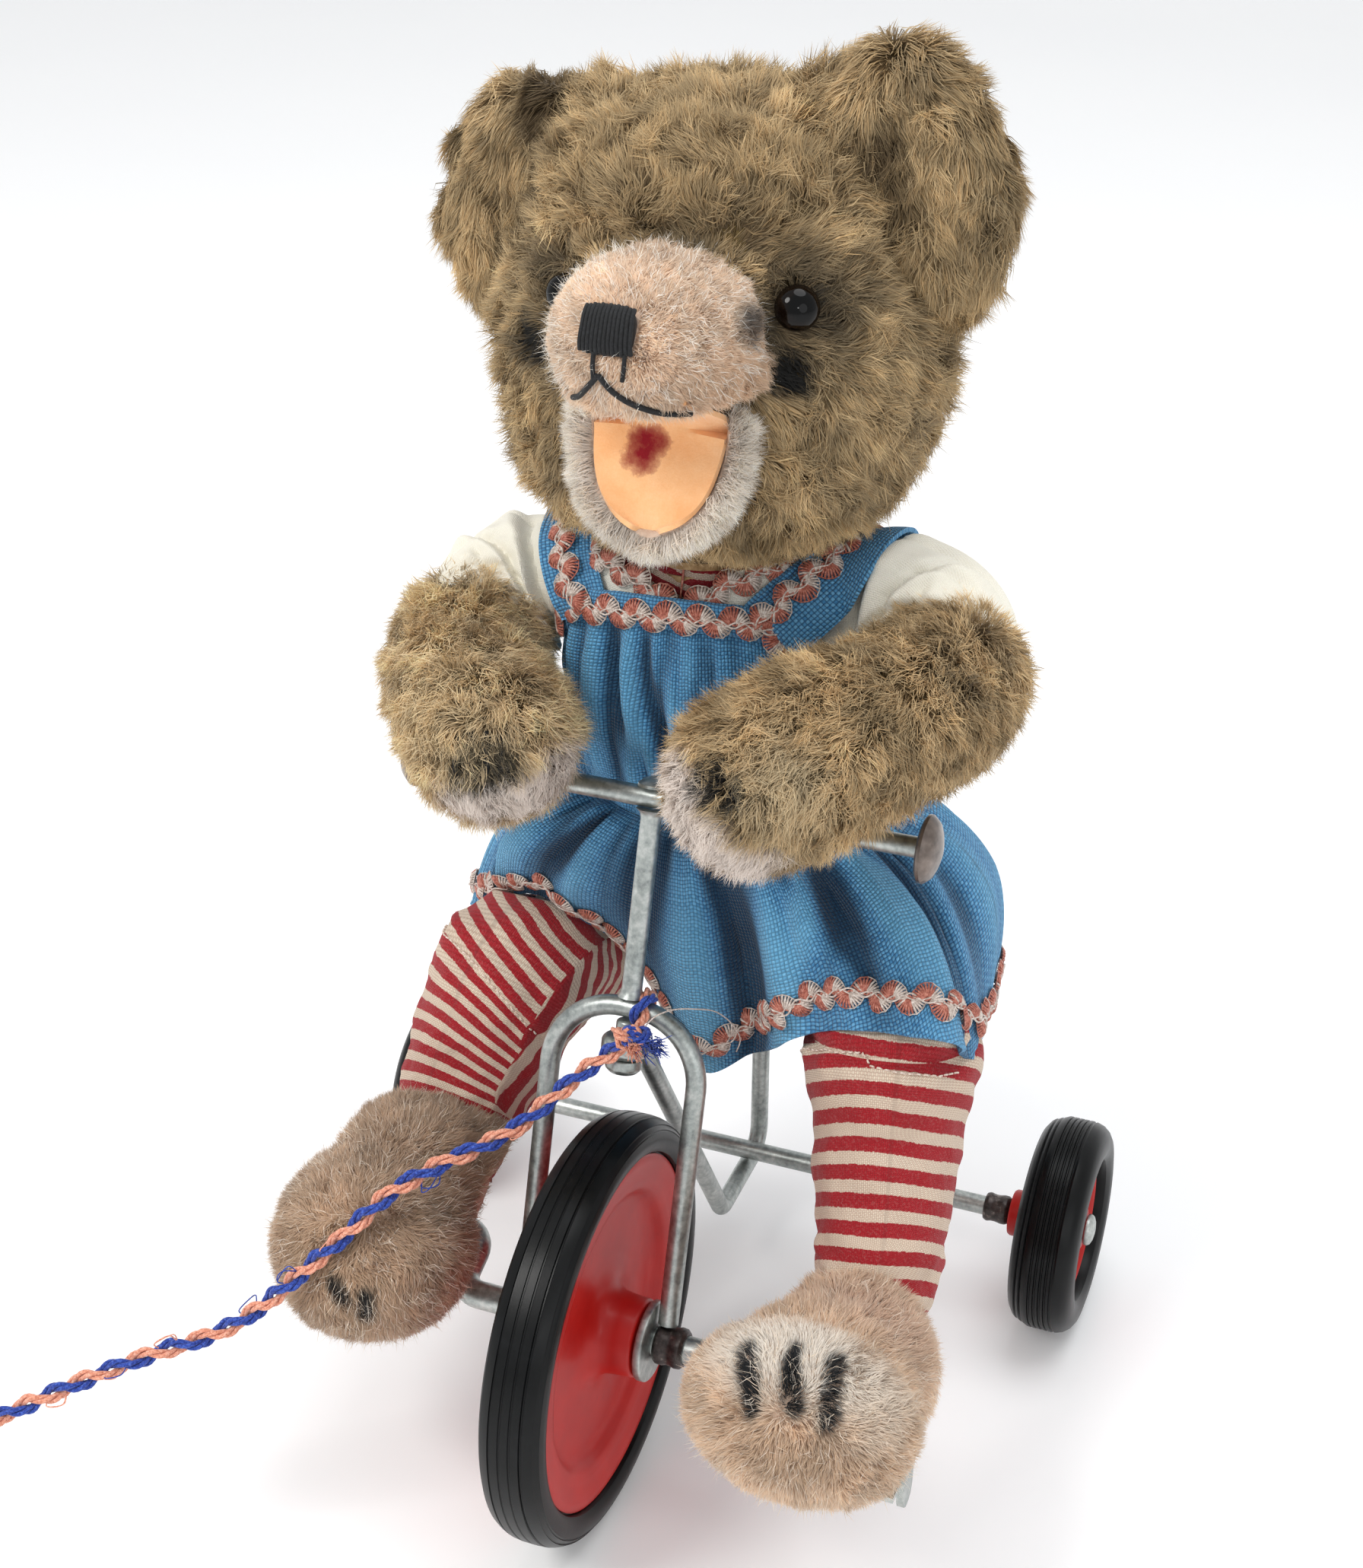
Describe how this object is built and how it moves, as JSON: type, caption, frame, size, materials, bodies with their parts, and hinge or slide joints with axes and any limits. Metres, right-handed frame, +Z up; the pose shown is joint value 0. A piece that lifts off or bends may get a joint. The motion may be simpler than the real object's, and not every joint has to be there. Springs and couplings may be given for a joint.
{
  "type": "teddy bear on tricycle",
  "caption": "Stuffed plush bear in a dress riding a wire-framed toy tricycle, with turning pedals, wheels, steering and head, and a pull cord.",
  "frame": {"origin": "on the floor, under the centre of the toy without its pull cord", "axes": "the toy rides towards -Y, its left side is +X, +Z up"},
  "size_m": [0.1869, 0.1827, 0.2796],
  "materials": {
    "plush": "brown-gold mohair plush",
    "muzzle_mohair": "pale short mohair",
    "felt": "peach wool felt",
    "black_plush": "black stitched yarn",
    "glass_eye": "glossy dark glass over brown",
    "blue_linen": "blue plain-weave cotton",
    "cream_cotton": "cream cotton",
    "striped_cotton": "red and white striped cotton",
    "zinc_wire": "dull zinc plating",
    "dark_collar": "dark crimson lacquered collar",
    "red_enamel": "glossy red enamel",
    "black_rubber": "black rubber with fine grooves",
    "brown_cap": "brown lacquered domed metal",
    "cord": "blue and salmon twisted cotton cord",
    "fibre_disc": "hardboard joint disc"
  },
  "bodies": {
    "frame": {"backbone": "zinc_wire", "steering_eye": "zinc_wire", "rear_axle": "zinc_wire", "axle_collar_left": "dark_collar", "axle_collar_right": "dark_collar", "axle_cap_left": "zinc_wire", "axle_cap_right": "zinc_wire", "seat_plate": "zinc_wire", "seat_screw": "zinc_wire", "torso": "cream_cotton", "bodice": "blue_linen", "skirt": "blue_linen", "strap_left": "blue_linen", "strap_right": "blue_linen", "collar": "striped_cotton", "sleeve_left": "cream_cotton", "sleeve_right": "cream_cotton", "neck_disc_lower": "fibre_disc"},
    "head": {"head_shell": "plush", "ear_left": "plush", "ear_right": "plush", "muzzle": "muzzle_mohair", "lower_jaw": "plush", "mouth_lining": "felt", "nose": "black_plush", "eye_left": "glass_eye", "eye_right": "glass_eye", "neck_disc_upper": "fibre_disc", "neck_pin": "zinc_wire"},
    "fork": {"fork": "zinc_wire", "fork_plate_left": "zinc_wire", "fork_plate_right": "zinc_wire", "steering_column": "zinc_wire", "king_pin": "zinc_wire", "handlebar": "zinc_wire", "handlebar_cap_left": "brown_cap", "handlebar_cap_right": "brown_cap", "column_rivet": "zinc_wire", "forearm_left": "plush", "forearm_right": "plush", "cord_knot": "cord", "pull_cord": "cord"},
    "front_wheel": {"front_wheel_disc": "red_enamel", "front_tyre": "black_rubber", "crank": "zinc_wire", "crank_collar_left": "dark_collar", "crank_collar_right": "dark_collar"},
    "pedal_left": {"pedal_left": "zinc_wire", "foot_left": "plush", "shin_left": "striped_cotton", "thigh_left": "striped_cotton"},
    "pedal_right": {"pedal_right": "zinc_wire", "foot_right": "plush", "shin_right": "striped_cotton", "thigh_right": "striped_cotton"},
    "rear_wheel_left": {"rear_wheel_left": "red_enamel", "rear_tyre_left": "black_rubber"},
    "rear_wheel_right": {"rear_wheel_right": "red_enamel", "rear_tyre_right": "black_rubber"}
  },
  "joints": [
    {"name": "steering", "type": "hinge", "parent": "frame", "child": "fork", "pos_m": [0, -0.035, 0.0425], "axis": [0, 0.2955, 0.9553], "range_deg": [-10, 10], "deforming": ["sleeve_left", "sleeve_right", "pull_cord"]},
    {"name": "front_wheel_spin", "type": "hinge", "parent": "fork", "child": "front_wheel", "pos_m": [0, -0.035, 0.0425], "axis": [1, 0, 0], "continuous": true, "deforming": ["skirt", "thigh_left", "thigh_right"]},
    {"name": "left_pedal_spin", "type": "hinge", "parent": "front_wheel", "child": "pedal_left", "pos_m": [0.052, -0.0474, 0.0376], "axis": [1, 0, 0], "continuous": true},
    {"name": "right_pedal_spin", "type": "hinge", "parent": "front_wheel", "child": "pedal_right", "pos_m": [-0.047, -0.0226, 0.0474], "axis": [1, 0, 0], "continuous": true},
    {"name": "rear_left_wheel_spin", "type": "hinge", "parent": "frame", "child": "rear_wheel_left", "pos_m": [0.074, 0.054, 0.0235], "axis": [1, 0, 0], "continuous": true},
    {"name": "rear_right_wheel_spin", "type": "hinge", "parent": "frame", "child": "rear_wheel_right", "pos_m": [-0.074, 0.054, 0.0235], "axis": [1, 0, 0], "continuous": true},
    {"name": "head_swivel", "type": "hinge", "parent": "frame", "child": "head", "pos_m": [0, 0.023, 0.187], "axis": [0, 0, 1], "range_deg": [-60, 60]}
  ],
  "couplings": [
    {"joint": "left_pedal_spin", "follows": "front_wheel_spin", "ratio": -1},
    {"joint": "right_pedal_spin", "follows": "front_wheel_spin", "ratio": -1}
  ]
}
